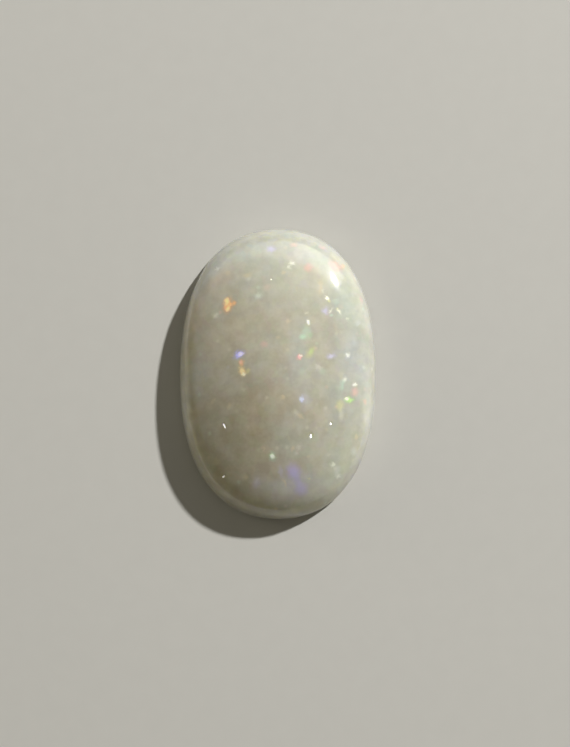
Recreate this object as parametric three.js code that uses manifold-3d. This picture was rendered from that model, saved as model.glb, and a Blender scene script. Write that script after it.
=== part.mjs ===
// A polished oval opal cabochon, one solid stone, in millimetres with +Z up.
// From the table upwards it has a flat ground back, a bevelled lower edge, a wall that leans in a
// little, a girdle edge, and a low dome that turns down over a tight shoulder. A few tiny open pits
// are left in the polish.
// The origin is on the back, under the middle of the dome. +Y runs along the stone's length.
import * as THREE from "three";
import { mergeVertices } from "three/addons/utils/BufferGeometryUtils.js";
import Module from "manifold-3d";

// Driving dimensions of the whole stone.
const LENGTH = 18.0;
const WIDTH = 12.1;
const FULLNESS = 0.046; // how far the outline swells past a true ellipse, half way between its axes

// Heights above the back.
const BEVEL_HEIGHT = 0.35;
const GIRDLE_HEIGHT = 1.5;
const DOME_RISE = 1.75; // of the broad cap
const SHOULDER_RISE = 0.25; // added by the tight turn at the dome's edge
const SHOULDER_TIGHTNESS = 18;

// Insets from the widest outline, measured across the width.
const BACK_INSET = 0.42;
const GIRDLE_INSET = 0.35;
const WALL_BULGE = 0.05;

// Fineness of the surface.
const AROUND = 128;
const WALL_STEPS = 5;
const DOME_STEPS = 22;
const PIT_AROUND = 12;
const PIT_RINGS = 8;

const COLOUR = 0xccccba;
const ROUGHNESS = 0.08;

// Open pits: share of the way out from the middle and bearing in degrees from +X, then the length
// and breadth of the mouth and the bearing of its long axis.
const PITS = [
  { share: 0.65, bearing: 216, long: 0.46, broad: 0.2, turn: 108 },
  { share: 0.56, bearing: 306, long: 0.5, broad: 0.22, turn: 76 },
  { share: 0.64, bearing: 325, long: 0.26, broad: 0.2, turn: 90 },
  { share: 0.88, bearing: 233, long: 0.32, broad: 0.17, turn: 45 },
  { share: 0.61, bearing: 96, long: 0.16, broad: 0.14, turn: 0 },
];
const PIT_DEPTH = 0.07;

const HALF_WIDTH = WIDTH / 2;
const GIRDLE_SHARE = 1 - GIRDLE_INSET / HALF_WIDTH;
const BACK_SHARE = 1 - BACK_INSET / HALF_WIDTH;

// A point of a unit disc, moved out to the stone's oval outline.
function toOval(across, along) {
  const swell = 1 + 4 * FULLNESS * across ** 2 * along ** 2;
  return new THREE.Vector2(across * HALF_WIDTH * swell, (along * LENGTH * swell) / 2);
}

// Height of the dome, at a share of the way out from its middle.
function domeHeight(share) {
  const s = share / GIRDLE_SHARE;
  return GIRDLE_HEIGHT + DOME_RISE * (1 - s ** 2) + SHOULDER_RISE * (1 - s ** SHOULDER_TIGHTNESS);
}

// Half section of the stone, as share of the way out and height, from the back's middle to the top.
function section() {
  const points = [new THREE.Vector2(0, 0), new THREE.Vector2(BACK_SHARE, 0)];
  for (let i = 0; i <= WALL_STEPS; i++) {
    const up = i / WALL_STEPS;
    const inset = GIRDLE_INSET * up - WALL_BULGE * Math.sin(Math.PI * up);
    const height = BEVEL_HEIGHT + (GIRDLE_HEIGHT - BEVEL_HEIGHT) * up;
    points.push(new THREE.Vector2(1 - inset / HALF_WIDTH, height));
  }
  for (let i = 1; i <= DOME_STEPS; i++) {
    const turn = (i / DOME_STEPS) * (Math.PI / 2); // closer rings where the shoulder bends
    const share = i < DOME_STEPS ? GIRDLE_SHARE * Math.cos(turn) : 0;
    points.push(new THREE.Vector2(share, domeHeight(share)));
  }
  return points;
}

// The section spun into a round stone of unit radius, set upright, then drawn out to the oval.
function ovalStone() {
  const stone = new THREE.LatheGeometry(section(), AROUND);
  stone.rotateX(Math.PI / 2);
  const position = stone.getAttribute("position");
  for (let i = 0; i < position.count; i++) {
    const place = toOval(position.getX(i), position.getY(i));
    position.setXY(i, place.x, place.y);
  }
  return stone;
}

// A small ellipsoid whose lower half bites into the dome and leaves a pit of the stated mouth.
function pitTool({ share, bearing, long, broad, turn }) {
  const angle = THREE.MathUtils.degToRad(bearing);
  const place = toOval(share * Math.cos(angle), share * Math.sin(angle));
  const tool = new THREE.SphereGeometry(1, PIT_AROUND, PIT_RINGS);
  tool.scale(long / 2, broad / 2, PIT_DEPTH);
  tool.rotateZ(THREE.MathUtils.degToRad(turn));
  tool.translate(place.x, place.y, domeHeight(share));
  return tool;
}

const wasm = await Module();
wasm.setup();

function toSolid(geometry) {
  const bare = new THREE.BufferGeometry();
  bare.setAttribute("position", geometry.getAttribute("position"));
  bare.setIndex(geometry.index);
  const merged = mergeVertices(bare, 1e-4);
  return new wasm.Manifold(
    new wasm.Mesh({
      numProp: 3,
      vertProperties: merged.getAttribute("position").array,
      triVerts: new Uint32Array(merged.index.array),
    }),
  );
}

function toGeometry(solid) {
  const mesh = solid.getMesh();
  const geometry = new THREE.BufferGeometry();
  geometry.setAttribute("position", new THREE.BufferAttribute(mesh.vertProperties, 3));
  geometry.setIndex(new THREE.BufferAttribute(mesh.triVerts, 1));
  geometry.computeVertexNormals();
  return geometry;
}

let stone = toSolid(ovalStone());
for (const pit of PITS) {
  stone = stone.subtract(toSolid(pitTool(pit)));
}

const opal = new THREE.Mesh(
  toGeometry(stone),
  new THREE.MeshStandardMaterial({ color: COLOUR, roughness: ROUGHNESS, metalness: 0 }),
);
opal.name = "opal";

const cabochon = new THREE.Group();
cabochon.add(opal);
export default cabochon;
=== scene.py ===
"""The looks of a polished oval white opal: a milky cabochon with play-of-colour, on a pale floor."""
import math

import bmesh
import bpy
from bpy.props import FloatProperty, FloatVectorProperty, IntProperty, PointerProperty
from mathutils import Euler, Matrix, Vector, noise


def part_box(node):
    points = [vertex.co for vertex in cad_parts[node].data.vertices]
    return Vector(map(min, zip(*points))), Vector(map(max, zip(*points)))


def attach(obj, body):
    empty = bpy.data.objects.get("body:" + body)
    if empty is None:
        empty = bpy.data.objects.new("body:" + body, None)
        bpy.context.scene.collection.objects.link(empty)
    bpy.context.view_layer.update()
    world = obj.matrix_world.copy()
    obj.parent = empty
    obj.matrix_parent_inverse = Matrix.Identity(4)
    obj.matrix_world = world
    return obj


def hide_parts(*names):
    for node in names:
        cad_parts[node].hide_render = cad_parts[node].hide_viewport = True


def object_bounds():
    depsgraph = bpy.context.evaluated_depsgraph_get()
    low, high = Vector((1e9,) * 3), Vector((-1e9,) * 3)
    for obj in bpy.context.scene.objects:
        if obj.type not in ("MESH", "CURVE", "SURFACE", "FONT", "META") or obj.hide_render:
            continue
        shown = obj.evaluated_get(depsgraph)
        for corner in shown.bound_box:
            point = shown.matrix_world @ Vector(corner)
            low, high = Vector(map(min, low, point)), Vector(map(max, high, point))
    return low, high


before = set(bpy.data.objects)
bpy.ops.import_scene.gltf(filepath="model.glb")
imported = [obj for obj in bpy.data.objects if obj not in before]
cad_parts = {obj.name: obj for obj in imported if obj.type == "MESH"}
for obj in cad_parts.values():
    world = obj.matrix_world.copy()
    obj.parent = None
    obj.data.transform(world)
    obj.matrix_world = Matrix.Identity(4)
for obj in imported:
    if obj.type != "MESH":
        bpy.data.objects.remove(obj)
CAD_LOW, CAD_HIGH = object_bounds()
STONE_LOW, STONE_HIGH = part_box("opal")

bl_info = {
    "name": "Opal Cabochon",
    "version": (1, 0, 0),
    "blender": (4, 5, 0),
    "location": "3D View > Sidebar > Opal",
    "description": "Makes a polished white opal with play-of-colour, and a plain stage to see it on",
    "category": "Add Mesh",
}

MM = 0.001

# The section, as the cutter left it, in metres above the back or in from the widest outline.
BEVEL_HEIGHT = 0.35 * MM
GIRDLE_HEIGHT = 1.5 * MM
SHOULDER_RISE = 0.25 * MM  # added to the broad cap by the tight turn at its edge
SHOULDER_TIGHTNESS = 18
BACK_INSET = 0.42 * MM
GIRDLE_INSET = 0.35 * MM
WALL_BULGE = 0.05 * MM
FULLNESS = 0.046  # how far the outline swells past a true ellipse, half way between its axes

# Fineness of the mesh, and lengths in metres.
BACK_STEPS = 10
WALL_STEPS = 10
DOME_STEPS = 64
EDGE_SEGMENTS = 4  # across each rounded edge
EDGE_ZONE = 1.5  # how far in from the outline an edge can be rounded, in back insets
EDGE_TURN = 0.2  # least angle between two faces, in radians, that makes a sharp edge
SAME_HEIGHT = 1e-8
WELD = 1e-7  # points this close are joined

# Open pits left in the polish: share of the way out from the middle, bearing from +X, length and
# breadth of the mouth in millimetres, bearing of the long axis.
PITS = (
    (0.65, 216, 0.46, 0.20, 108),
    (0.56, 306, 0.50, 0.22, 76),
    (0.64, 325, 0.26, 0.20, 90),
    (0.88, 233, 0.32, 0.17, 45),
    (0.61, 96, 0.16, 0.14, 0),
)
PIT_DEPTH = 0.14 * MM
PIT_FALL = 0.55  # slope of the facet
PIT_FALL_BEARING = 42  # the facet falls this way, in degrees from +X
PIT_LIFT = 0.15  # how far above the dome the facet starts, as a share of its fall over half a mouth
PIT_WALL = 0.35  # share of the mouth's half breadth that the steep wall takes
PIT_REACH = 1.9  # how far past its mouth the mesh is made finer, in half lengths
PIT_CUTS = 5
PIT_RAGGED = 0.2  # how far the mouth's edge strays, as a share of its half size
PIT_RAG_SIZE = 0.12 * MM

# The white of a chip, partly frosted and partly a painted glint that glows with the flecks: where it
# ends and how softly, in shares of the mouth's half size, and its breadth as a share of the mouth's.
CHIP_FROST_AND_PAINTED_GLINT = (1.0, 0.99, 0.94)
CHIP_EDGE = 0.8
CHIP_FADE = 0.35
CHIP_SLIM = 0.65

# Hand grinding: distance between its low places, where in the noise they are taken, and the share
# of the girdle's height below which it fades.
WEAR_SIZE = 4.5 * MM
WEAR_PLACE = (7.0, 3.0, 1.0)
WEAR_START = 0.2

# Colours of the play of light, in linear red, green and blue.
COLOURS = {
    "orange": (1.0, 0.52, 0.20),
    "gold": (1.0, 0.78, 0.40),
    "yellow": (0.95, 0.92, 0.45),
    "lime": (0.62, 1.0, 0.30),
    "green": (0.45, 0.82, 0.50),
    "mint": (0.68, 0.93, 0.76),
    "white": (0.97, 0.97, 0.88),
    "ice": (0.76, 0.84, 1.0),
    "blue": (0.46, 0.46, 1.0),
    "lilac": (0.74, 0.70, 1.0),
    "violet": (0.60, 0.52, 0.98),
    "pink": (1.0, 0.58, 0.56),
    "rose": (0.95, 0.64, 0.58),
    "beige": (0.88, 0.77, 0.56),
    "clear": (0.34, 0.34, 0.29),
    "haze": (0.42, 0.56, 0.66),
    "umber": (0.43, 0.37, 0.21),
}

# Flecks of colour inside the dome: place across and along, length, breadth, bearing of the long axis,
# colour and strength. Places and sizes are in millimetres.
FLECKS = (
    (-3.03, 3.88, 1.00, 0.62, 76, "orange", 0.75),
    (-3.10, 4.12, 0.46, 0.32, 70, "gold", 0.9),
    (-3.02, 3.66, 0.40, 0.28, 60, "gold", 0.8),
    (-2.66, 4.00, 0.34, 0.24, 60, "orange", 0.55),
    (-2.33, 0.82, 0.74, 0.50, 35, "blue", 0.75),
    (-2.20, 0.84, 0.42, 0.28, 40, "lilac", 0.85),
    (-2.18, 0.32, 0.42, 0.36, 60, "orange", 0.60),
    (-2.20, 0.36, 0.28, 0.24, 60, "rose", 0.7),
    (-2.14, -0.18, 0.66, 0.42, 110, "gold", 0.75),
    (-2.06, -0.40, 0.30, 0.22, 30, "white", 0.4),
    (-1.78, -0.20, 0.44, 0.26, 60, "yellow", 0.35),
    (1.32, 0.64, 0.38, 0.34, 60, "pink", 0.85),
    (1.38, 0.74, 0.20, 0.18, 0, "white", 0.5),
    (1.96, 0.90, 0.82, 0.50, 50, "yellow", 0.32),
    (2.04, 0.98, 0.44, 0.32, 60, "lime", 0.24),
    (1.74, 2.18, 0.90, 0.66, 100, "mint", 0.34),
    (1.50, 1.88, 0.40, 0.36, 0, "mint", 0.55),
    (1.98, 2.00, 0.34, 0.26, 70, "green", 0.20),
    (1.84, 2.80, 0.38, 0.26, 100, "white", 0.8),
    (0.62, 2.80, 0.34, 0.30, 0, "beige", 0.40),
    (1.74, 3.36, 0.26, 0.24, 0, "white", 0.3),
    (0.02, 1.80, 0.28, 0.26, 0, "beige", 0.30),
    (0.32, -1.78, 0.32, 0.26, 100, "beige", 0.45),
    (-0.80, 1.42, 0.46, 0.40, 20, "rose", 0.40),
    (-1.17, 4.42, 0.46, 0.46, 0, "white", 0.30),
    (-1.17, 4.44, 0.70, 0.60, 0, "mint", 0.18),
    (-3.74, 3.27, 0.36, 0.34, 0, "white", 0.38),
    (-3.50, 3.44, 0.24, 0.22, 0, "rose", 0.3),
    (-3.72, 6.24, 0.34, 0.28, 55, "white", 0.55),
    (0.86, 6.50, 0.38, 0.36, 0, "white", 0.65),
    (0.66, 6.24, 0.32, 0.30, 0, "white", 0.50),
    (0.35, 5.88, 0.34, 0.24, 0, "beige", 0.4),
    (1.86, 6.24, 0.60, 0.56, 0, "pink", 0.42),
    (3.50, 6.42, 1.00, 0.66, 150, "pink", 0.55),
    (4.00, 6.50, 0.40, 0.30, 80, "orange", 0.45),
    (-0.43, 7.43, 0.60, 0.46, 0, "lilac", 0.50),
    (0.95, 7.73, 0.50, 0.34, 0, "rose", 0.35),
    (2.75, 7.63, 0.55, 0.34, 160, "rose", 0.42),
    (5.16, 4.42, 0.55, 0.30, 95, "pink", 0.45),
    (2.60, 5.02, 0.95, 0.34, 86, "beige", 0.42),
    (2.74, 4.77, 0.30, 0.16, 86, "white", 0.35),
    (3.00, 4.32, 0.38, 0.26, 130, "white", 0.85),
    (3.12, 4.12, 0.22, 0.20, 0, "yellow", 0.5),
    (2.88, 3.54, 0.56, 0.42, 60, "lilac", 0.50),
    (3.24, 3.56, 0.46, 0.22, 60, "white", 0.48),
    (3.30, 3.26, 0.26, 0.20, 0, "mint", 0.4),
    (3.75, 3.52, 0.46, 0.26, 130, "white", 0.58),
    (3.60, 3.70, 0.24, 0.20, 0, "yellow", 0.35),
    (4.25, 3.12, 0.28, 0.24, 0, "white", 0.35),
    (3.22, 0.74, 0.66, 0.36, 10, "lilac", 0.55),
    (4.24, 0.88, 0.38, 0.30, 80, "white", 0.6),
    (2.45, 0.04, 0.46, 0.36, 140, "white", 0.32),
    (4.02, -0.63, 0.46, 0.30, 65, "white", 0.55),
    (3.90, -0.98, 0.60, 0.30, 75, "mint", 0.4),
    (4.66, -0.90, 0.32, 0.28, 0, "white", 0.65),
    (4.66, -1.36, 0.54, 0.50, 0, "pink", 0.46),
    (4.34, -1.86, 0.66, 0.40, 12, "lime", 0.60),
    (4.20, -1.80, 0.34, 0.20, 20, "white", 0.75),
    (3.74, -2.22, 0.70, 0.52, 80, "yellow", 0.40),
    (3.84, -2.76, 0.85, 0.38, 90, "white", 0.30),
    (1.44, -1.90, 0.46, 0.28, 75, "ice", 0.70),
    (1.60, -1.88, 0.70, 0.50, 75, "lilac", 0.25),
    (1.08, -2.72, 0.46, 0.36, 150, "white", 0.28),
    (1.34, -2.92, 0.46, 0.34, 150, "beige", 0.45),
    (-0.34, -5.28, 0.60, 0.50, 110, "mint", 0.45),
    (-0.30, -5.32, 0.34, 0.28, 0, "white", 0.45),
    (-0.86, -4.84, 0.34, 0.18, 120, "beige", 0.3),
    (0.95, -6.18, 0.95, 0.90, 115, "violet", 0.50),
    (1.20, -6.73, 0.80, 0.52, 112, "violet", 0.26),
    (1.42, -7.23, 0.90, 0.86, 112, "violet", 0.38),
    (0.20, -6.23, 0.80, 0.32, 100, "lilac", 0.30),
    (0.40, -6.88, 0.60, 0.20, 112, "beige", 0.45),
    (-1.30, -6.90, 0.90, 0.46, 70, "lilac", 0.22),
    (-1.20, -6.73, 0.60, 0.22, 60, "white", 0.14),
    (-1.94, -6.54, 0.36, 0.32, 0, "beige", 0.35),
    (3.34, -5.76, 0.36, 0.32, 0, "white", 0.48),
    (3.62, -6.40, 0.42, 0.34, 60, "white", 0.42),
    (3.10, -5.18, 0.26, 0.24, 0, "white", 0.2),
    (0.88, -4.86, 0.32, 0.26, 60, "beige", 0.45),
    (1.24, -4.78, 0.34, 0.28, 0, "white", 0.28),
    (1.86, -5.28, 0.26, 0.20, 0, "beige", 0.3),
    (1.90, -6.62, 0.22, 0.18, 0, "yellow", 0.35),
    (5.30, -1.93, 0.34, 0.22, 100, "rose", 0.4),
    (4.75, -4.03, 0.40, 0.22, 90, "beige", 0.4),
    (-3.05, 5.93, 0.34, 0.26, 0, "beige", 0.3),
    (-1.85, 5.73, 0.60, 0.34, 20, "beige", 0.34),
    (-2.75, 0.77, 0.26, 0.22, 0, "beige", 0.25),
    (-2.95, -2.28, 0.50, 0.22, 70, "beige", 0.26),
    (-3.90, -1.98, 0.44, 0.22, 60, "beige", 0.24),
    (-2.05, -1.28, 0.40, 0.22, 0, "white", 0.16),
)
FLECK_DEPTH = 0.8  # millimetres
FLECK_SOFTNESS = 0.85  # share of a fleck, from its outside inwards, over which it fades in
TINT_REACH = 1.45  # how far the soft edge of a fleck or drift lies outside its stated size
GLOW_START = 0.1  # how far a fleck's colour has to be from the body's before it glows
GLOW_FULL = 0.6

# Soft drifts of tint through the whole depth of the stone, laid out as the flecks are. Some rows are
# painted light and shade on the rims and the lower left, each marked below.
DRIFTS_AND_PAINTED_LIGHT = (
    (4.3, 4.2, 4.4, 2.6, 110, "mint", 0.16),
    (4.5, 0.4, 4.6, 2.0, 90, "ice", 0.20),
    (1.1, 0.2, 4.4, 2.0, 85, "ice", 0.24),
    (1.4, -2.2, 2.4, 1.4, 60, "ice", 0.16),
    (-4.9, -0.6, 3.6, 1.8, 90, "ice", 0.22),
    (-2.9, -0.9, 1.6, 1.0, 70, "ice", 0.18),
    (-2.6, 2.4, 2.6, 1.8, 60, "beige", 0.10),
    (-5.0, 3.6, 4.2, 1.8, 80, "rose", 0.14),
    (-3.4, 5.6, 2.8, 1.2, 75, "rose", 0.20),
    (0.4, 2.6, 2.2, 0.9, 95, "rose", 0.10),
    (2.4, 5.6, 2.6, 1.6, 95, "beige", 0.14),
    (-0.6, -3.0, 4.2, 3.0, 30, "rose", 0.07),
    (3.5, -6.0, 3.0, 2.2, 60, "mint", 0.16),
    (0.2, -7.2, 5.6, 1.6, 8, "ice", 0.18),
    (-2.4, -5.0, 2.0, 1.2, 60, "mint", 0.08),
    (1.1, -6.5, 2.8, 1.8, 112, "violet", 0.14),
    (-1.3, -6.7, 1.8, 1.2, 70, "violet", 0.10),
    (2.4, -3.2, 2.0, 1.4, 40, "rose", 0.08),
    (-0.6, 6.6, 7.0, 2.6, 0, "white", 0.16),
    (-0.4, 8.3, 12.0, 5.0, 0, "haze", 0.30),
    (-4.7, 5.7, 5.0, 1.6, 60, "ice", 0.32),
    (4.4, 1.6, 12.0, 4.0, 93, "haze", 0.26),
    # Painted shade: a darker, warmer lower left, the side turned away from the key light.
    (-2.2, -4.2, 9.5, 6.0, 70, "umber", 0.58),
    (-0.2, 8.7, 9.0, 1.3, 0, "clear", 0.20),
    (1.6, 5.2, 4.0, 3.4, 30, "white", 0.16),
    # Painted light: lighter rims at the left, the lower right and the bottom, the bottom also warmer,
    # for light thrown onto the edge and coming through it.
    (-6.1, -1.6, 7.0, 1.0, 92, "white", 0.62),
    (5.75, -2.9, 4.6, 1.1, 100, "white", 0.34),
    (-0.3, -9.0, 7.0, 1.2, 0, "white", 0.25),
    (-0.3, -9.0, 7.0, 1.2, 0, "beige", 0.45),
    # Painted shade: the right rim, where the key light strikes it, darkened to a clear grey.
    (5.9, 1.9, 8.0, 2.4, 95, "clear", 0.32),
)
DRIFT_DEPTH = 6.0  # millimetres
DRIFT_HEIGHT = 2.0  # millimetres above the back
DRIFT_SOFTNESS = 1.0
DRIFT_WANDER = (0.5, 1.2)  # waves in a millimetre, and how far they lead the edges astray

# The milk's own pattern. Scales count features in a millimetre, and the rest are shares.
MILK_SCALE = 0.28
MILK_TURN = (0.35, 0.65)  # the noise at which warm milk starts to turn cool, and where it has
MOSAIC_SCALE = 2.2
MOSAIC_WANDER = (2.5, 0.25)
MOSAIC_GREY = 0.75
MOSAIC_STRENGTH = 0.12
CLOUD_SCALE = 1.3
CLOUD_STRENGTH = 0.17
GRAIN_SCALE = 5.0
GRAIN_STRENGTH = 0.05
CLOUD_RANGE = (0.3, 0.7)
CLOUD_WHITE = (1.0, 1.0, 0.92)
# The wall is painted lighter, a painted glow for light coming out through the rim.
PAINTED_WALL_GLOW_HEIGHTS = (1.35, 1.6)  # heights in millimetres between which the wall's painted glow ends
PAINTED_WALL_GLOW_STRENGTH = 0.10
PAINTED_WALL_GLOW = (0.80, 0.78, 0.66)

# Fine sparks: cells in a millimetre, share of the cells that stay dark, strength.
SPARKS = (
    (0.9, 0.66, 0.26),
    (1.7, 0.76, 0.30),
)
SPARK_HUES = ("ice", "white", "mint", "beige", "white", "rose")
SPARK_SHIFT = (3.1, 1.7, 0.9)  # moves the cells, so that the two sizes don't line up
SPARK_ON = 0.02  # softness of the choice between a lit cell and a dark one
SPARK_SIZE = (0.03, 0.34)  # distances from a cell's middle between which a spark fades

# How the flecks' edges wander, and how far they break into small flat steps, in millimetres.
SHARD_WANDER = (2.4, 0.09)
SHARD_SCALE = 6.0
SHARD_JUMP = 0.09

# The polish: heights in millimetres, scales in a millimetre, and what each adds to the roughness.
BACK_END = (0.02, 0.12)
BEVEL_END = (0.3, 0.45)
SMEAR_SCALE = 0.9
SMEAR_ROUGHNESS = 0.04
BEVEL_ROUGHNESS = 0.12
BACK_ROUGHNESS = 0.25
CHIP_ROUGHNESS = 0.2
MARK_TURN = (0.0, 0.0, 0.6)
MARK_STRETCH = (1.5, 18.0, 1.0)  # the grinding marks are long and close together
RIPPLE_SCALE = 1.1
RIPPLE_STRENGTH = 0.35
BUMP_STRENGTH = 0.35
BUMP_DEPTH = 0.02 * MM
SCATTER_COLOURS = (1.0, 0.92, 0.5)  # how far each colour travels, as a share of the milk depth

# The stage, in metres. A direction is a bearing from +X and an elevation, in degrees.
FLOOR_HALF = 2.0
FLOOR_GRAIN = 900.0
FLOOR_DARKER = 0.96
KEY_DIRECTION = (44, 31.5)
KEY_DISTANCE = 0.6
KEY_COLOUR = (1.0, 0.985, 0.952)
FILL_DIRECTION = (158, 15)
FILL_DISTANCE = 0.5
FILL_SIZE = 0.2
FILL_COLOUR = (1.0, 0.92, 0.72)
ROOM_COLOUR = (1.0, 0.94, 0.75, 1.0)

# The window panel: its size, middle and colour, and the places between which it fades in from the
# left and out at the top. The top slopes up to the right.
WINDOW_SIZE = (0.80, 0.31)
WINDOW_PLACE = (0.05, 0.36, 0.269)
WINDOW_COLOUR = (0.98, 0.995, 1.01)
WINDOW_LEFT_FADE = (-0.25, 0.28)
WINDOW_STRENGTH = (0.36, 1.2)  # at the left and at the right
WINDOW_TOP_FADE = (0.335, 0.275)
WINDOW_TOP_SLOPE = 0.25

# The camera looks down from a little towards -Y, and aims beside the stone's middle.
CAMERA_TILT = 6.0
CAMERA_AIM = (0.44 * MM, -0.16 * MM, GIRDLE_HEIGHT)
CAMERA_DISTANCE = 120 * MM
CAMERA_LENS = 94.8
CAMERA_SENSOR = 36.0
CAMERA_NEAR = 0.005


class StoneSettings(bpy.types.PropertyGroup):
    """Size of the stone."""

    length: FloatProperty(
        name="Length", description="Length of the outline",
        default=STONE_HIGH.y - STONE_LOW.y, min=0.004, unit="LENGTH",
    )
    width: FloatProperty(
        name="Width", description="Width of the outline",
        default=STONE_HIGH.x - STONE_LOW.x, min=0.003, unit="LENGTH",
    )
    thickness: FloatProperty(
        name="Thickness", description="Height of the dome's top above the back",
        default=STONE_HIGH.z - STONE_LOW.z, min=0.002, unit="LENGTH",
    )
    edge_round: FloatProperty(
        name="Edge rounding", description="Width of the polished rounding on the girdle and lower edge",
        default=0.09 * MM, min=0.0, unit="LENGTH",
    )
    unevenness: FloatProperty(
        name="Unevenness", description="How far hand grinding left the surface below its ideal shape",
        default=0.03 * MM, min=0.0, unit="LENGTH",
    )
    around: IntProperty(
        name="Steps around", description="How many faces go round the outline", default=256, min=32,
    )


class OpalSettings(bpy.types.PropertyGroup):
    """Colour and polish of the opal."""

    warm: FloatVectorProperty(
        name="Warm body", description="Colour of the warmer, greyer milk", subtype="COLOR",
        default=(0.575, 0.54, 0.43), min=0.0, max=1.0,
    )
    cool: FloatVectorProperty(
        name="Cool body", description="Colour of the cooler, greener milk", subtype="COLOR",
        default=(0.57, 0.565, 0.475), min=0.0, max=1.0,
    )
    milk_depth: FloatProperty(
        name="Milk depth", description="How far light travels inside the stone",
        default=3.2 * MM, min=0.0, unit="LENGTH",
    )
    refraction: FloatProperty(
        name="Refractive index", description="Refractive index of opal", default=1.45, min=1.0,
    )
    polish: FloatProperty(
        name="Polish", description="Roughness of the polished dome", default=0.055, min=0.0, max=1.0,
    )
    fire: FloatProperty(
        name="Fire", description="How strongly the flecks glow", default=0.45, min=0.0,
    )


class StageSettings(bpy.types.PropertyGroup):
    """Floor, lights and camera."""

    floor: FloatVectorProperty(
        name="Floor", description="Colour of the floor", subtype="COLOR",
        default=(0.69, 0.685, 0.655), min=0.0, max=1.0,
    )
    key_power: FloatProperty(
        name="Key light", description="Power of the low light at the upper right", default=4.0,
        min=0.0, unit="POWER",
    )
    key_size: FloatProperty(
        name="Key size", description="Width of the key light", default=0.028, min=0.001, unit="LENGTH",
    )
    window: FloatProperty(
        name="Window", description="Power of the panel that the upper shoulder mirrors", default=3.2,
        min=0.0, unit="POWER",
    )
    fill_power: FloatProperty(
        name="Fill light", description="Power of the weak light from the left", default=0.26, min=0.0,
        unit="POWER",
    )
    room: FloatProperty(
        name="Room light", description="Brightness of the room around", default=0.11, min=0.0,
    )


class Value:
    """A socket in a material. Sums, differences and products of values add Math nodes."""

    def __init__(self, finish, socket):
        self.finish = finish
        self.socket = socket

    def maths(self, operation, first, second):
        """Adds a Math node."""
        return self.finish.node("ShaderNodeMath", {"operation": operation}, {0: first, 1: second})

    def __add__(self, other):
        return self.maths("ADD", self, other)

    def __radd__(self, other):
        return self.maths("ADD", other, self)

    def __sub__(self, other):
        return self.maths("SUBTRACT", self, other)

    def __rsub__(self, other):
        return self.maths("SUBTRACT", other, self)

    def __mul__(self, other):
        return self.maths("MULTIPLY", self, other)

    def __rmul__(self, other):
        return self.maths("MULTIPLY", other, self)


class Finish:
    """The nodes of a material, a light or a node group, built up one by one."""

    def __init__(self, tree):
        self.tree = tree
        self.tree.nodes.clear()

    def node(self, kind, settings, values, output=0):
        """Adds a node: its settings first, then the values or links of its sockets."""
        made = self.tree.nodes.new(kind)
        for name, setting in settings.items():
            if name == "stops":
                self.set_stops(made.color_ramp, setting)
            else:
                setattr(made, name, setting)
        for key, value in values.items():
            if isinstance(value, Value):
                self.tree.links.new(value.socket, made.inputs[key])
            elif isinstance(value, tuple) and made.inputs[key].type == "RGBA":
                made.inputs[key].default_value = (*value, 1.0)
            else:
                made.inputs[key].default_value = value
        return Value(self, made.outputs[output]) if made.outputs else None

    @staticmethod
    def set_stops(ramp, stops):
        """Gives a colour ramp its places and colours."""
        while len(ramp.elements) < len(stops):
            ramp.elements.new(0.5)
        for element, (position, colour) in zip(ramp.elements, stops):
            element.position = position
            element.color = (*colour, 1.0)

    def mix(self, factor, first, second, blend="MIX"):
        """Blends two colours."""
        settings = {"data_type": "RGBA", "blend_type": blend, "clamp_result": False}
        return self.node("ShaderNodeMix", settings, {0: factor, 6: first, 7: second}, 2)

    def vector(self, operation, first, second, output=0):
        """Adds a Vector Math node."""
        return self.node("ShaderNodeVectorMath", {"operation": operation}, {0: first, 1: second}, output)

    def step(self, value, start, end, low=0.0, high=1.0):
        """Goes from low at start to high at end, with a smooth turn at both."""
        settings = {"interpolation_type": "SMOOTHSTEP", "clamp": True}
        return self.node("ShaderNodeMapRange", settings, {0: value, 1: start, 2: end, 3: low, 4: high})

    def noise(self, place, scale, detail=2.0, output=0):
        """Smooth noise around a middle of 0.5."""
        values = {"Vector": place, "Scale": scale, "Detail": detail}
        return self.node("ShaderNodeTexNoise", {"noise_dimensions": "3D"}, values, output)

    def cells(self, place, scale, output):
        """Cells of even spacing: their colour, or the distance from their middle."""
        settings = {"voronoi_dimensions": "3D"}
        return self.node("ShaderNodeTexVoronoi", settings, {"Vector": place, "Scale": scale}, output)


def to_oval(across, along, stone):
    """A point of a unit disc, moved out to the stone's oval outline."""
    swell = 1 + 4 * FULLNESS * across**2 * along**2
    return across * stone.width / 2 * swell, along * stone.length / 2 * swell


def girdle_share(stone):
    """The girdle's share of the way out from the middle to the widest outline."""
    return 1 - GIRDLE_INSET / (stone.width / 2)


def dome_height(share, stone):
    """Height of the dome, at a share of the way out from its middle."""
    s = share / girdle_share(stone)
    broad_rise = stone.thickness - GIRDLE_HEIGHT - SHOULDER_RISE
    return GIRDLE_HEIGHT + broad_rise * (1 - s**2) + SHOULDER_RISE * (1 - s**SHOULDER_TIGHTNESS)


def half_section(stone):
    """Points from the back's middle round to the dome's top: share of the way out, and height."""
    half_width = stone.width / 2
    back_share = 1 - BACK_INSET / half_width
    points = [(back_share * i / BACK_STEPS, 0.0) for i in range(BACK_STEPS + 1)]
    for i in range(WALL_STEPS + 1):
        up = i / WALL_STEPS
        inset = GIRDLE_INSET * up - WALL_BULGE * math.sin(math.pi * up)
        points.append((1 - inset / half_width, BEVEL_HEIGHT + (GIRDLE_HEIGHT - BEVEL_HEIGHT) * up))
    for i in range(1, DOME_STEPS + 1):
        turn = i / DOME_STEPS * math.pi / 2
        share = girdle_share(stone) * math.cos(turn) if i < DOME_STEPS else 0.0
        points.append((share, dome_height(share, stone)))
    return points


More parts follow.
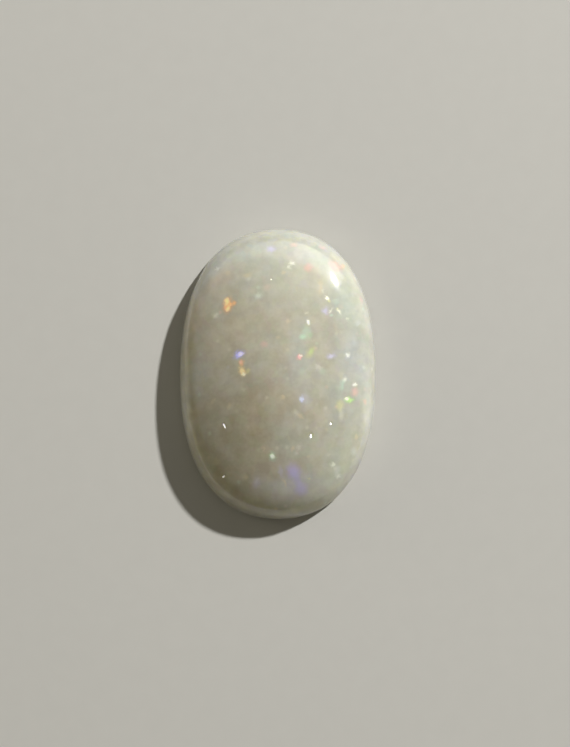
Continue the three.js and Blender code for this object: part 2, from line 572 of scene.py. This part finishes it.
def pit_places(stone):
    """The pits, each with its place in the disc and on the stone."""
    for share, bearing, long, broad, turn in PITS:
        angle = math.radians(bearing)
        disc = Vector((share * math.cos(angle), share * math.sin(angle)))
        oval = Vector(to_oval(disc.x, disc.y, stone))
        yield disc, oval, long * MM / 2, broad * MM / 2, math.radians(turn)


def spin_section(mesh, stone):
    """Spins the half section into a closed round stone of unit radius."""
    rim = [mesh.verts.new((share, 0.0, height)) for share, height in half_section(stone)]
    edges = [mesh.edges.new(pair) for pair in zip(rim, rim[1:])]
    bmesh.ops.spin(
        mesh, geom=rim + edges, cent=(0, 0, 0), axis=(0, 0, 1), angle=math.tau,
        steps=stone.around, use_merge=True,
    )
    bmesh.ops.remove_doubles(mesh, verts=mesh.verts, dist=WELD)


def refine_round_pits(mesh, stone):
    """Makes the mesh finer where the pits go, and lays the new points on the dome."""
    edges = set()
    for disc, _, half_long, _, _ in pit_places(stone):
        reach = PIT_REACH * half_long / (stone.width / 2)
        for edge in mesh.edges:
            middle = (edge.verts[0].co + edge.verts[1].co) / 2
            if middle.z > GIRDLE_HEIGHT and (middle.xy - disc).length < reach:
                edges.add(edge)
    bmesh.ops.subdivide_edges(mesh, edges=list(edges), cuts=PIT_CUTS, use_grid_fill=True)
    for vert in mesh.verts:
        if vert.co.z > GIRDLE_HEIGHT:
            vert.co.z = dome_height(vert.co.xy.length, stone)


def draw_out(mesh, stone):
    """Draws the round stone out to its oval outline."""
    for vert in mesh.verts:
        vert.co.x, vert.co.y = to_oval(vert.co.x, vert.co.y, stone)


def round_edges(mesh, stone):
    """Rounds the girdle and the two lower edges."""
    corners = (GIRDLE_HEIGHT, BEVEL_HEIGHT, 0.0)
    inner_back = 1 - EDGE_ZONE * BACK_INSET / (stone.width / 2)
    edges = []
    for edge in mesh.edges:
        heights = [vert.co.z for vert in edge.verts]
        level = abs(heights[0] - heights[1]) < SAME_HEIGHT
        at_corner = any(abs(heights[0] - corner) < SAME_HEIGHT for corner in corners)
        outer = all(
            math.hypot(vert.co.x / stone.width, vert.co.y / stone.length) * 2 > inner_back
            for vert in edge.verts
        )
        sharp = len(edge.link_faces) == 2 and edge.calc_face_angle() > EDGE_TURN
        if level and at_corner and outer and sharp:
            edges.append(edge)
    bmesh.ops.bevel(
        mesh, geom=edges, offset=stone.edge_round, offset_type="OFFSET", segments=EDGE_SEGMENTS,
        profile=0.5, affect="EDGES", material=-1, clamp_overlap=True,
    )


def sink_pits(mesh, stone):
    """Cuts the open pits into the dome: a flat facet falls away, and a steep wall climbs back."""
    fall = direction(PIT_FALL_BEARING, 0).xy
    chip = mesh.verts.layers.float.new("chip")
    for disc, oval, half_long, half_broad, turn in pit_places(stone):
        start = oval - fall * half_broad
        start_height = dome_height(disc.length, stone) + PIT_LIFT * PIT_FALL * half_broad
        for vert in mesh.verts:
            if vert.co.z < GIRDLE_HEIGHT:
                continue
            away = vert.co.xy - oval
            if away.length > half_long:
                continue
            along = away.x * math.cos(turn) + away.y * math.sin(turn)
            across = away.y * math.cos(turn) - away.x * math.sin(turn)
            rag = PIT_RAGGED * noise.noise(vert.co / PIT_RAG_SIZE)
            out = math.hypot(along / half_long, across / half_broad) + rag
            white_out = math.hypot(along / half_long, across / half_broad / CHIP_SLIM) + rag
            if out < 1:
                facet = start_height - PIT_FALL * (vert.co.xy - start).dot(fall)
                drop = max(0.0, min(vert.co.z - facet, PIT_DEPTH))
                vert.co.z -= drop * min(1.0, (1 - out) / PIT_WALL)
                # The white core of each chip, partly frosted and partly a painted glint; the material
                # also roughens it.
                vert[chip] = max(0.0, min(1.0, (CHIP_EDGE - white_out) / CHIP_FADE))


def wear_unevenly(mesh, stone):
    """Hand grinding leaves the dome and wall a hair lower here and there, never proud."""
    for vert in mesh.verts:
        slack = 0.5 + 0.5 * noise.noise(vert.co / WEAR_SIZE + Vector(WEAR_PLACE))
        lift = min(1.0, vert.co.z / GIRDLE_HEIGHT)
        vert.co.z -= stone.unevenness * slack * max(0.0, lift - WEAR_START)
        vert.co.xy *= 1 - stone.unevenness * slack / (stone.width / 2)


def opal_material(looks):
    """Milky opal with drifts of tint and painted light and shade, flecks of play-of-colour, white chips
    partly painted as glints, a glassy polish and a matt back.
    """
    material = bpy.data.materials.new("milky opal")
    material.use_nodes = True
    finish = Finish(material.node_tree)
    object_place = finish.node("ShaderNodeTexCoord", {}, {}, "Object")
    place = finish.node("ShaderNodeMapping", {}, {"Vector": object_place, "Scale": (1 / MM,) * 3})
    height = finish.node("ShaderNodeSeparateXYZ", {}, {"Vector": place}, "Z")

    chip = finish.node("ShaderNodeAttribute", {"attribute_name": "chip"}, {}, "Fac")

    group = tint_group()
    body = body_colour(finish, group, place, height, looks)
    colour, glow = add_flecks(finish, group, place, body, chip)
    roughness, bump = polish(finish, place, height, chip, looks)

    shader = finish.node(
        "ShaderNodeBsdfPrincipled",
        {"subsurface_method": "RANDOM_WALK"},
        {
            "Base Color": colour,
            "Roughness": roughness,
            "IOR": looks.refraction,
            "Subsurface Weight": 1.0,
            "Subsurface Radius": SCATTER_COLOURS,
            "Subsurface Scale": looks.milk_depth,
            "Emission Color": glow,
            "Emission Strength": looks.fire,
            "Normal": bump,
        },
    )
    finish.node("ShaderNodeOutputMaterial", {}, {"Surface": shader})
    return material


def tint_group():
    """A node group that lays a soft-edged ellipsoid of one colour over what is there."""
    tree = bpy.data.node_groups.new("tint", "ShaderNodeTree")
    for name, kind in (
        ("Place", "Vector"), ("Middle", "Vector"), ("Turn", "Vector"), ("Half size", "Vector"),
        ("Strength", "Float"), ("Soft", "Float"), ("Tint", "Color"), ("Ground", "Color"),
    ):
        tree.interface.new_socket(name, in_out="INPUT", socket_type="NodeSocket" + kind)
    tree.interface.new_socket("Colour", in_out="OUTPUT", socket_type="NodeSocketColor")
    finish = Finish(tree)
    given = tree.nodes.new("NodeGroupInput")
    take = {socket.name: Value(finish, socket) for socket in given.outputs if socket.name}
    local = finish.node(
        "ShaderNodeMapping", {"vector_type": "TEXTURE"},
        {
            "Vector": take["Place"], "Location": take["Middle"], "Rotation": take["Turn"],
            "Scale": take["Half size"],
        },
    )
    inward = finish.node(
        "ShaderNodeTexGradient", {"gradient_type": "SPHERICAL"}, {"Vector": local}, "Fac"
    )
    mask = finish.step(inward, 0.0, take["Soft"], 0.0, take["Strength"])
    finish.node("NodeGroupOutput", {}, {"Colour": finish.mix(mask, take["Ground"], take["Tint"])})
    return tree


def lay_tints(finish, group, place, colour, tints, depth, soft, middle_height):
    """Lays a table of tinted ellipsoids over a colour, one after another."""
    reach = TINT_REACH / 2
    for across, along, length, breadth, turn, tint, strength in tints:
        colour = finish.node(
            "ShaderNodeGroup", {"node_tree": group},
            {
                "Place": place,
                "Middle": (across, along, middle_height(across, along)),
                "Turn": (0.0, 0.0, math.radians(turn)),
                "Half size": (length * reach, breadth * reach, depth * reach),
                "Strength": strength,
                "Soft": soft,
                "Tint": COLOURS[tint],
                "Ground": colour,
            },
        )
    return colour


def body_colour(finish, group, place, height, looks):
    """The milk itself: slow drifts between two tones, tinted haze with painted light and shade on the
    rims and lower left, a faint mosaic, and a painted glow on the wall.
    """
    turn = finish.step(finish.noise(place, MILK_SCALE), *MILK_TURN)
    colour = finish.mix(turn, tuple(looks.warm), tuple(looks.cool))
    wander = wandering(finish, place, *DRIFT_WANDER)
    # The drifts include painted light and shade on the rims and the lower left.
    colour = lay_tints(
        finish, group, wander, colour, DRIFTS_AND_PAINTED_LIGHT, DRIFT_DEPTH, DRIFT_SOFTNESS, lambda x, y: DRIFT_HEIGHT
    )
    mosaic = finish.cells(wandering(finish, place, *MOSAIC_WANDER), MOSAIC_SCALE, "Color")
    pale = finish.mix(MOSAIC_GREY, mosaic, (0.5, 0.5, 0.5))
    colour = finish.mix(MOSAIC_STRENGTH, colour, pale, "OVERLAY")
    clouds = finish.step(finish.noise(place, CLOUD_SCALE, 3.0), *CLOUD_RANGE)
    grain = finish.step(finish.noise(place, GRAIN_SCALE), *CLOUD_RANGE)
    colour = finish.mix(clouds * CLOUD_STRENGTH + grain * GRAIN_STRENGTH, colour, CLOUD_WHITE)
    # Painted glow: the wall made lighter, for light coming out through the rim.
    wall = finish.step(height, *PAINTED_WALL_GLOW_HEIGHTS, PAINTED_WALL_GLOW_STRENGTH, 0.0)
    colour = finish.mix(wall, colour, PAINTED_WALL_GLOW)
    return scattered(finish, place, colour)


def scattered(finish, place, colour):
    """Fine sparks of colour, one here and there among many small cells."""
    stops = [(i / (len(SPARK_HUES) - 1), COLOURS[name]) for i, name in enumerate(SPARK_HUES)]
    for scale, share, strength in SPARKS:
        moved = finish.vector("ADD", place, (SPARK_SHIFT[0] * scale, *SPARK_SHIFT[1:]))
        away = finish.cells(moved, scale, "Distance")
        draw = finish.cells(moved, scale, "Color")
        chance = finish.node("ShaderNodeSeparateColor", {}, {"Color": draw}, "Red")
        hue = finish.node("ShaderNodeSeparateColor", {}, {"Color": draw}, "Green")
        spark = finish.node("ShaderNodeValToRGB", {"stops": stops}, {"Fac": hue})
        lit = finish.step(chance, share, share + SPARK_ON)
        colour = finish.mix(lit * finish.step(away, *SPARK_SIZE, strength, 0.0), colour, spark)
    return colour


def add_flecks(finish, group, place, body, chip):
    """Lays the named flecks and the white of the chips, partly a painted glint, over the body, and says
    how they glow.
    """
    shard = wandering(finish, angular(finish, place), *SHARD_WANDER)
    colour = lay_tints(
        finish, group, shard, body, FLECKS, FLECK_DEPTH, FLECK_SOFTNESS, height_on_dome
    )
    # White over the pits: partly frosted chip, partly a painted glint, which glows with the flecks.
    colour = finish.mix(chip, colour, CHIP_FROST_AND_PAINTED_GLINT)
    change = finish.vector("DISTANCE", colour, body, "Value")
    return colour, finish.mix(finish.step(change, GLOW_START, GLOW_FULL), (0.0, 0.0, 0.0), colour)


def height_on_dome(across, along):
    """Height of the dome over a place on it, in millimetres."""
    stone = bpy.context.scene.opal_stone
    share = math.hypot(across * MM / (stone.width / 2), along * MM / (stone.length / 2))
    return dome_height(min(share, girdle_share(stone)), stone) / MM


def wandering(finish, place, scale, reach):
    """The place, led astray by smooth noise, so that edges wander."""
    drift = finish.vector("SUBTRACT", finish.noise(place, scale, 2.0, "Color"), (0.5, 0.5, 0.5))
    return finish.vector("ADD", place, finish.vector("MULTIPLY", drift, (2 * reach,) * 3))


def angular(finish, place):
    """The place, shifted cell by cell, so that edges break into small flat steps."""
    jump = finish.vector("SUBTRACT", finish.cells(place, SHARD_SCALE, "Color"), (0.5, 0.5, 0.5))
    return finish.vector("ADD", place, finish.vector("MULTIPLY", jump, (SHARD_JUMP,) * 3))


def polish(finish, place, height, chip, looks):
    """Glassy dome and wall with faint smears, and a matt back with fine grinding marks."""
    back = 1.0 - finish.step(height, *BACK_END)
    bevel = 1.0 - finish.step(height, *BEVEL_END)
    smear = finish.noise(place, SMEAR_SCALE, 3.0)
    roughness = looks.polish + smear * SMEAR_ROUGHNESS + bevel * BEVEL_ROUGHNESS
    roughness = roughness + back * BACK_ROUGHNESS + chip * CHIP_ROUGHNESS
    long_marks = finish.node(
        "ShaderNodeMapping", {}, {"Vector": place, "Rotation": MARK_TURN, "Scale": MARK_STRETCH}
    )
    marks = finish.noise(long_marks, 1.0, 3.0) * back
    ripple = finish.noise(place, RIPPLE_SCALE, 1.0) * RIPPLE_STRENGTH
    bump = finish.node(
        "ShaderNodeBump", {},
        {"Strength": BUMP_STRENGTH, "Distance": BUMP_DEPTH, "Height": marks + ripple},
    )
    return roughness, bump


class OPAL_OT_make_stone(bpy.types.Operator):
    """Make the polished opal and dress it."""

    bl_idname = "opal.make_stone"
    bl_label = "Make the Opal"

    def execute(self, context):
        stone = context.scene.opal_stone
        solid = bmesh.new()
        spin_section(solid, stone)
        refine_round_pits(solid, stone)
        draw_out(solid, stone)
        bmesh.ops.recalc_face_normals(solid, faces=solid.faces)
        round_edges(solid, stone)
        sink_pits(solid, stone)
        wear_unevenly(solid, stone)
        bmesh.ops.remove_doubles(solid, verts=solid.verts, dist=WELD)
        bmesh.ops.recalc_face_normals(solid, faces=solid.faces)
        if any(not edge.is_manifold for edge in solid.edges):
            raise RuntimeError("the stone's surface isn't closed")
        data = bpy.data.meshes.new("opal_stone")
        solid.to_mesh(data)
        solid.free()
        data.shade_smooth()
        data.materials.append(opal_material(context.scene.opal_looks))
        piece = bpy.data.objects.new("opal_stone", data)
        context.collection.objects.link(piece)
        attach(piece, "root")
        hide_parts("opal")
        return {"FINISHED"}


def floor_material(stage):
    """Plain pale paper, a little uneven."""
    material = bpy.data.materials.new("pale floor")
    material.use_nodes = True
    finish = Finish(material.node_tree)
    place = finish.node("ShaderNodeTexCoord", {}, {}, "Object")
    grain = finish.noise(place, FLOOR_GRAIN, 3.0)
    darker = tuple(part * FLOOR_DARKER for part in stage.floor)
    colour = finish.mix(grain, darker, tuple(stage.floor))
    shader = finish.node("ShaderNodeBsdfPrincipled", {}, {"Base Color": colour, "Roughness": 0.85})
    finish.node("ShaderNodeOutputMaterial", {}, {"Surface": shader})
    return material


def direction(azimuth, elevation):
    """Unit vector to a bearing from +X and an elevation, both in degrees."""
    a, e = math.radians(azimuth), math.radians(elevation)
    return Vector((math.cos(e) * math.cos(a), math.cos(e) * math.sin(a), math.sin(e)))


def add_light(context, name, shape, size, power, colour, place, target):
    """Adds an area light at a place, turned to a target and out of the camera's sight."""
    light = bpy.data.lights.new(name, "AREA")
    light.shape = shape
    light.size = size[0]
    light.size_y = size[1]
    light.energy = power
    light.color = colour
    lamp = bpy.data.objects.new(name, light)
    lamp.location = place
    lamp.rotation_euler = (target - place).to_track_quat("-Z", "Y").to_euler()
    lamp.visible_camera = False
    context.collection.objects.link(lamp)
    return lamp


class OPAL_OT_make_stage(bpy.types.Operator):
    """Lay the pale floor and set the lights, the room and the camera."""

    bl_idname = "opal.make_stage"
    bl_label = "Make the Stage"

    def execute(self, context):
        stage = context.scene.opal_stage
        self.lay_floor(context, stage)
        self.light(context, stage)
        self.set_camera(context)
        context.scene.view_settings.view_transform = "Standard"
        return {"FINISHED"}

    def lay_floor(self, context, stage):
        """One wide sheet under the stone."""
        sheet = bmesh.new()
        bmesh.ops.create_grid(sheet, x_segments=1, y_segments=1, size=FLOOR_HALF)
        data = bpy.data.meshes.new("floor")
        sheet.to_mesh(data)
        sheet.free()
        data.materials.append(floor_material(stage))
        floor = bpy.data.objects.new("floor", data)
        context.collection.objects.link(floor)

    def light(self, context, stage):
        """A low key light, a weak fill, the window and the room."""
        middle = (CAD_LOW + CAD_HIGH) / 2
        add_light(
            context, "key", "DISK", (stage.key_size, stage.key_size), stage.key_power, KEY_COLOUR,
            middle + direction(*KEY_DIRECTION) * KEY_DISTANCE, middle,
        )
        fill = add_light(
            context, "fill", "SQUARE", (FILL_SIZE, FILL_SIZE), stage.fill_power, FILL_COLOUR,
            middle + direction(*FILL_DIRECTION) * FILL_DISTANCE, middle,
        )
        fill.visible_glossy = False
        self.hang_window(context, stage)
        world = bpy.data.worlds.new("room")
        world.use_nodes = True
        background = world.node_tree.nodes["Background"]
        background.inputs["Color"].default_value = ROOM_COLOUR
        background.inputs["Strength"].default_value = stage.room
        context.scene.world = world

    def hang_window(self, context, stage):
        """The panel gives no light of its own to the stone or floor: it is only mirrored."""
        place = Vector(WINDOW_PLACE)
        panel = add_light(
            context, "window", "RECTANGLE", WINDOW_SIZE, stage.window, WINDOW_COLOUR,
            place, Vector((place.x, 0.0, place.z)),
        )
        panel.visible_diffuse = False
        panel.data.use_nodes = True
        finish = Finish(panel.data.node_tree)
        point = finish.node("ShaderNodeNewGeometry", {}, {}, "Position")
        across = finish.node("ShaderNodeSeparateXYZ", {}, {"Vector": point}, "X")
        up = finish.node("ShaderNodeSeparateXYZ", {}, {"Vector": point}, "Z")
        sideways = finish.step(across, *WINDOW_LEFT_FADE, *WINDOW_STRENGTH)
        upwards = finish.step(up - across * WINDOW_TOP_SLOPE, *WINDOW_TOP_FADE)
        glow = finish.node("ShaderNodeEmission", {}, {"Strength": sideways * upwards})
        finish.node("ShaderNodeOutputLight", {}, {"Surface": glow})

    def set_camera(self, context):
        """The photo's viewing angle and framing."""
        view = bpy.data.cameras.new("camera")
        view.sensor_width = CAMERA_SENSOR
        view.lens = CAMERA_LENS
        view.clip_start = CAMERA_NEAR
        camera = bpy.data.objects.new("camera", view)
        turn = Euler((math.radians(CAMERA_TILT), 0.0, 0.0))
        camera.rotation_euler = turn
        back = Vector((0.0, 0.0, CAMERA_DISTANCE))
        back.rotate(turn)
        camera.location = Vector(CAMERA_AIM) + back
        context.collection.objects.link(camera)
        context.scene.camera = camera


class OPAL_PT_cabochon(bpy.types.Panel):
    """The opal's sizes, colours and stage."""

    bl_idname = "OPAL_PT_cabochon"
    bl_label = "Opal Cabochon"
    bl_space_type = "VIEW_3D"
    bl_region_type = "UI"
    bl_category = "Opal"

    def draw(self, context):
        scene = context.scene
        for settings, operator in (
            (scene.opal_stone, None),
            (scene.opal_looks, OPAL_OT_make_stone),
            (scene.opal_stage, OPAL_OT_make_stage),
        ):
            for name in settings.__annotations__:
                self.layout.prop(settings, name)
            if operator:
                self.layout.operator(operator.bl_idname)


CLASSES = (
    StoneSettings,
    OpalSettings,
    StageSettings,
    OPAL_OT_make_stone,
    OPAL_OT_make_stage,
    OPAL_PT_cabochon,
)


def register():
    """Adds the settings, the operators and the panel."""
    for made in CLASSES:
        bpy.utils.register_class(made)
    bpy.types.Scene.opal_stone = PointerProperty(type=StoneSettings)
    bpy.types.Scene.opal_looks = PointerProperty(type=OpalSettings)
    bpy.types.Scene.opal_stage = PointerProperty(type=StageSettings)


def unregister():
    """Takes them away again."""
    del bpy.types.Scene.opal_stage
    del bpy.types.Scene.opal_looks
    del bpy.types.Scene.opal_stone
    for made in reversed(CLASSES):
        bpy.utils.unregister_class(made)


def main():
    """Makes the stone and the stage."""
    register()
    bpy.ops.opal.make_stone()
    bpy.ops.opal.make_stage()


if __name__ == "__main__":
    main()
